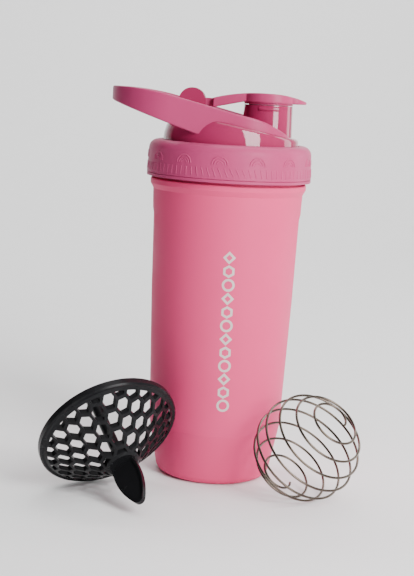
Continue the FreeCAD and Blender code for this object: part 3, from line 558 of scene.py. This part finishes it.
@dataclass
class Lid(SubAssembly):
    """The screw lid, with raised ribs and outlines round its grip band.

    Attributes:
        rib_count: How many ribs go round the band.
        rib_low: Height of the ribs' lower ends above the band's foot.
        rib_high: Height of the ribs' upper ends above the band's foot.
        rib_width: Width of a rib.
        rib_thick: Thickness of a rib, most of it sunk into the band.
        rib_round: How far a rib's edges are rounded.
        rib_proud: How far a rib stands out from the band.
        slant: Sideways run of the slanted ribs.
        slant_groups: How many groups of slanted ribs there are.
        draft: How much narrower the band is at its top.
        hill_count: How many groups of raised rings go round the band.
        hill_turn: How far the groups are turned, as a share of one group.
        hill_height: Height of the groups' centres above the band's foot.
        hill_radii: Radii of the rings in one group.
        hill_stroke: Radius of a ring's section.
        smooth_below: Edges flatter than this many degrees are shaded smooth.
    """

    rib_count: int = 90
    rib_low: float = 3.0 * MM
    rib_high: float = 7.8 * MM
    rib_width: float = 0.9 * MM
    rib_thick: float = 0.9 * MM
    rib_round: float = 0.315 * MM
    rib_proud: float = 0.22 * MM
    slant: float = 2.4 * MM
    slant_groups: int = 3
    draft: float = 0.8 * MM
    hill_count: int = 14
    hill_turn: float = 0.25
    hill_height: float = 9.6 * MM
    hill_radii: tuple[float, ...] = (1.6 * MM, 2.9 * MM, 4.2 * MM)
    hill_stroke: float = 0.42 * MM
    smooth_below: float = 50.0

    finishes: ClassVar[dict[str, Finish]] = {
        "lid_core": GLOSS_LID,
        "collar_band": SATIN_BAND,
        "carry_loop": SATIN_LOOP,
        "lid_gasket": RING_SILICONE,
        "hinge_pin": GLOSS_LID,
    }

    def band_radius(self, height: float) -> float:
        """The band's outer radius at a height.

        Args:
            height: The height above the floor.

        Returns:
            The radius.
        """
        low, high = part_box("collar_band")
        share = (height - low[2]) / (high[2] - low[2])
        return (high[0] - low[0]) / 2 - self.draft * share

    def rib(self, length: float) -> bpy.types.Object:
        """Model one rib with rounded edges, standing at the origin.

        Args:
            length: Its length.

        Returns:
            The rib, to be copied.
        """
        deselect_all()
        bpy.ops.mesh.primitive_cube_add(size=1.0)
        piece = bpy.context.object
        piece.scale = (self.rib_width, self.rib_thick, length)
        bpy.ops.object.transform_apply(location=False, rotation=False, scale=True)
        bpy.ops.object.mode_set(mode="EDIT")
        bpy.ops.mesh.select_all(action="SELECT")
        bpy.ops.mesh.bevel(offset=self.rib_round, segments=2, affect="EDGES")
        bpy.ops.object.mode_set(mode="OBJECT")
        return piece

    def lengthen(self, piece: bpy.types.Object, extra: float) -> None:
        """Move a rib's two ends apart, which leaves its edges as round as they were.

        Args:
            piece: A copy of the rib, at the origin.
            extra: How much longer it gets.
        """
        for side in (-1, 1):
            edit_vertices(piece, lambda place: place.z * side > 0)
            bpy.ops.transform.translate(value=(0, 0, side * extra / 2))
            bpy.ops.object.mode_set(mode="OBJECT")

    def rib_ends(self, index: int, low: float, high: float) -> tuple[Vector, Vector]:
        """Where one rib starts and ends on the band.

        Args:
            index: The rib's number.
            low: Height of its lower end.
            high: Height of its upper end.

        Returns:
            The lower end and the upper end.
        """
        angle = 2 * math.pi * index / self.rib_count
        lean = self.slant * max(0.0, math.sin(angle * self.slant_groups)) / self.band_radius(low)
        ends = []
        for height, shift in ((low, lean), (high, -lean)):
            radius = self.band_radius(height) + self.rib_proud - self.rib_thick / 2
            turned = angle + shift / 2
            ends.append(Vector((radius * math.cos(turned), radius * math.sin(turned), height)))
        return ends[0], ends[1]

    def rib_place(self, start: Vector, end: Vector) -> Matrix:
        """The place and turn of a rib between two points on the band.

        Args:
            start: The lower end.
            end: The upper end.

        Returns:
            The matrix that takes an upright rib from the origin to there.
        """
        along = (end - start).normalized()
        middle = (start + end) / 2
        outward = Vector((middle.x, middle.y, 0)).normalized()
        across = along.cross(outward).normalized()
        outward = across.cross(along)
        turn = Matrix((across, outward, along)).transposed().to_4x4()
        return Matrix.Translation(middle) @ turn

    def ring(self, radius: float) -> bpy.types.Object:
        """Model the upper half of a raised ring at the origin.

        Args:
            radius: The ring's radius.

        Returns:
            The half ring, with closed ends, to be copied.
        """
        deselect_all()
        bpy.ops.mesh.primitive_torus_add(
            major_radius=radius, minor_radius=self.hill_stroke,
            major_segments=28, minor_segments=8)
        piece = bpy.context.object
        bpy.ops.object.mode_set(mode="EDIT")
        bpy.ops.mesh.select_all(action="SELECT")
        bpy.ops.mesh.bisect(plane_co=(0, 0, 0), plane_no=(0, 1, 0), clear_inner=True,
                            use_fill=True)
        bpy.ops.object.mode_set(mode="OBJECT")
        return piece

    def ring_place(self, radius: float, angle: float, height: float) -> Matrix:
        """The place and turn of a half ring that lies on the band.

        Args:
            radius: The ring's radius.
            angle: Where round the band its centre is.
            height: Its centre's height.

        Returns:
            The matrix that takes a half ring from the origin to there.
        """
        reach = self.band_radius(height + radius / 2) + self.rib_proud - self.hill_stroke
        outward = Vector((math.cos(angle), math.sin(angle), 0))
        upward = Vector((0, 0, 1))
        turn = Matrix((upward.cross(outward), upward, outward)).transposed().to_4x4()
        return Matrix.Translation(outward * reach + upward * height) @ turn

    def build_ribs(self, foot: float) -> None:
        """Set the ribs round the band.

        Args:
            foot: Height of the band's foot.
        """
        spans = [self.rib_ends(index, foot + self.rib_low, foot + self.rib_high)
                 for index in range(self.rib_count)]
        upright = (spans[0][1] - spans[0][0]).length
        master = self.rib(upright)
        ribs = []
        for start, end in spans:
            copy = duplicate(master)
            self.lengthen(copy, (end - start).length - upright)
            copy.matrix_world = self.rib_place(start, end)
            ribs.append(copy)
        remove(master)
        self.finish_relief(join(ribs, "collar_ribs"))

    def build_rings(self, foot: float) -> None:
        """Set the groups of raised half rings round the band.

        Args:
            foot: Height of the band's foot.
        """
        masters = {radius: self.ring(radius) for radius in self.hill_radii}
        rings = []
        for index in range(self.hill_count):
            angle = 2 * math.pi * (index + self.hill_turn) / self.hill_count
            for radius, master in masters.items():
                copy = duplicate(master)
                copy.matrix_world = self.ring_place(radius, angle, foot + self.hill_height)
                rings.append(copy)
        for master in masters.values():
            remove(master)
        self.finish_relief(join(rings, "collar_rings"))

    def build(self) -> None:
        """Set the ribs and the raised rings round the band."""
        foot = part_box("collar_band")[0][2]
        self.build_ribs(foot)
        self.build_rings(foot)

    def finish_relief(self, piece: bpy.types.Object) -> None:
        """Smooth a raised pattern, give it the band's finish and set it on the lid.

        Args:
            piece: The joined pattern.
        """
        activate(piece)
        bpy.ops.object.shade_smooth_by_angle(angle=math.radians(self.smooth_below))
        wear(piece, SATIN_BAND.build())
        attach(piece, "lid")
        log.info("built %s", piece.name)


@dataclass
class FlipCap(SubAssembly):
    """The flip cap and its seal."""

    finishes: ClassVar[dict[str, Finish]] = {"flip_cap": SATIN_CAP, "spout_seal": PLUG_SILICONE}


@dataclass
class LoosePieces(SubAssembly):
    """The strainer and the whisk ball."""

    finishes: ClassVar[dict[str, Finish]] = {"strainer": BLACK_PLASTIC, "whisk_ball": WIRE_STEEL}


@dataclass(frozen=True)
class Softbox:
    """A soft rectangular light.

    Attributes:
        name: The light's name.
        place: Where it stands.
        size: Its width and height.
        power: Its power in watts.
        target: The point that it faces.
    """

    name: str
    place: Point
    size: tuple[float, float]
    power: float
    target: Point = (0, 0, 0.11)

    def build(self) -> None:
        """Add the light."""
        deselect_all()
        bpy.ops.object.light_add(type="AREA", location=self.place)
        lamp = bpy.context.object
        lamp.name = self.name
        lamp.data.shape = "RECTANGLE"
        lamp.data.size, lamp.data.size_y = self.size
        lamp.data.energy = self.power
        aim = Vector(self.target) - Vector(self.place)
        lamp.rotation_euler = aim.to_track_quat("-Z", "Y").to_euler()
        log.info("built %s", lamp.name)


SOFTBOXES = (
    Softbox("key_softbox", (0.5, -0.66, 0.5), (0.4, 0.72), 15.0),
    Softbox("top_softbox", (0.2, -0.05, 1.2), (0.9, 0.9), 4.5),
    Softbox("rim_softbox", (0.75, 0.3, 0.35), (0.3, 0.8), 3.0),
    Softbox("backdrop_light", (0.0, 0.7, 1.7), (2.2, 0.6), 46.0, (0, 2.0, 0.4)),
)


@dataclass
class Studio:
    """The floor, the lights and the camera.

    Attributes:
        floor_size: Width of the floor.
        floor_drop: How far the floor lies under the object's lowest point.
        wall_place: How far behind the object the backdrop stands.
        wall_height: Height of the backdrop.
        sweep_radius: Radius of the curve between the floor and the backdrop.
        sweep_steps: Flat steps in that curve.
        dim_side: The world's brightness on the left, as the object is lit.
        bright_side: The world's brightness on the right.
        seen_world: The world's brightness where the camera sees it directly.
        camera_place: Where the camera stands.
        pitch: How far the camera looks down, in degrees.
        roll: How far the camera is rolled, in degrees.
        yaw: How far the camera is turned, in degrees.
        lens: The lens's focal length, in millimetres.
        sensor: The sensor's width, in millimetres.
    """

    floor_size: float = 6.0
    floor_drop: float = 0.2 * MM
    wall_place: float = 2.0
    wall_height: float = 2.4
    sweep_radius: float = 0.9
    sweep_steps: int = 24
    dim_side: float = 0.02
    bright_side: float = 0.42
    seen_world: float = 2.2
    camera_place: Point = (0.0, -0.700, 0.2165)
    pitch: float = 8.961
    roll: float = 3.262
    yaw: float = -0.703
    lens: float = 77.7
    sensor: float = 36.0

    def build(self) -> None:
        """Build the whole studio."""
        self.add_floor()
        for light in SOFTBOXES:
            light.build()
        self.add_world()
        self.add_camera()

    def add_floor(self) -> None:
        """A pale floor that curves up into a plain backdrop."""
        deselect_all()
        middle = (0, self.wall_place - self.floor_size / 2, -self.floor_drop)
        bpy.ops.mesh.primitive_plane_add(size=self.floor_size, location=middle)
        floor = bpy.context.object
        bpy.ops.object.mode_set(mode="EDIT")
        bpy.ops.mesh.select_all(action="DESELECT")
        bpy.ops.object.mode_set(mode="OBJECT")
        for edge in floor.data.edges:
            edge.select = all(floor.data.vertices[i].co.y > 0 for i in edge.vertices)
        bpy.ops.object.mode_set(mode="EDIT")
        bpy.ops.mesh.select_mode(type="EDGE")
        bpy.ops.mesh.extrude_region_move(TRANSFORM_OT_translate={"value": (0, 0, self.wall_height)})
        bpy.ops.mesh.select_all(action="DESELECT")
        bpy.ops.object.mode_set(mode="OBJECT")
        for edge in floor.data.edges:
            ends = [floor.data.vertices[i].co for i in edge.vertices]
            edge.select = all(end.y > 0 and abs(end.z) < self.wall_height / 2 for end in ends)
        bpy.ops.object.mode_set(mode="EDIT")
        bpy.ops.mesh.bevel(offset=self.sweep_radius, segments=self.sweep_steps, affect="EDGES")
        bpy.ops.object.mode_set(mode="OBJECT")
        bpy.ops.object.shade_smooth()
        floor.name = "studio_floor"
        settle(floor)
        wear(floor, STUDIO_FLOOR.build())
        log.info("built %s", floor.name)

    def add_world(self) -> None:
        """A white world, dimmer on the left and bright where the camera sees it."""
        world = bpy.data.worlds.new("studio_world")
        bpy.context.scene.world = world
        world.use_nodes = True
        tree = world.node_tree
        background = tree.nodes["Background"]
        background.inputs["Color"].default_value = (1.0, 1.0, 1.0, 1.0)
        direction = add_node(tree, "ShaderNodeTexCoord")
        split = add_node(tree, "ShaderNodeSeparateXYZ")
        fade = add_node(tree, "ShaderNodeMapRange", {
            "From Min": -0.9, "From Max": 0.7, "To Min": self.dim_side, "To Max": self.bright_side})
        bright = add_node(tree, "ShaderNodeBackground", {"Strength": self.seen_world})
        path = add_node(tree, "ShaderNodeLightPath")
        mix = add_node(tree, "ShaderNodeMixShader")
        link = tree.links.new
        link(direction.outputs["Generated"], split.inputs["Vector"])
        link(split.outputs["X"], fade.inputs["Value"])
        link(fade.outputs["Result"], background.inputs["Strength"])
        link(path.outputs["Is Camera Ray"], mix.inputs["Fac"])
        link(background.outputs["Background"], mix.inputs[1])
        link(bright.outputs["Background"], mix.inputs[2])
        link(mix.outputs["Shader"], tree.nodes["World Output"].inputs["Surface"])
        log.info("built %s", world.name)

    def add_camera(self) -> None:
        """The camera, turned by its yaw, then its pitch, then its roll."""
        pitch, roll, yaw = (math.radians(a) for a in (self.pitch, self.roll, self.yaw))
        ahead = Vector((math.sin(yaw) * math.cos(pitch), math.cos(yaw) * math.cos(pitch),
                        -math.sin(pitch)))
        right = Vector((math.cos(yaw), -math.sin(yaw), 0.0))
        up = right.cross(ahead)
        across = right * math.cos(roll) + up * math.sin(roll)
        upward = up * math.cos(roll) - right * math.sin(roll)
        turn = Matrix((across, upward, -ahead)).transposed().to_4x4()
        deselect_all()
        bpy.ops.object.camera_add()
        camera = bpy.context.object
        camera.name = "studio_camera"
        camera.matrix_world = Matrix.Translation(Vector(self.camera_place)) @ turn
        camera.data.lens = self.lens
        camera.data.sensor_width = self.sensor
        bpy.context.scene.camera = camera
        log.info("built %s", camera.name)


def main() -> None:
    """Dress and build every sub-assembly, then build the studio."""
    logging.basicConfig(level=logging.INFO, format="%(message)s")
    for group in (Cup(), Lid(), FlipCap(), LoosePieces()):
        group.dress()
        group.build()
    Studio().build()


if __name__ == "__main__":
    main()
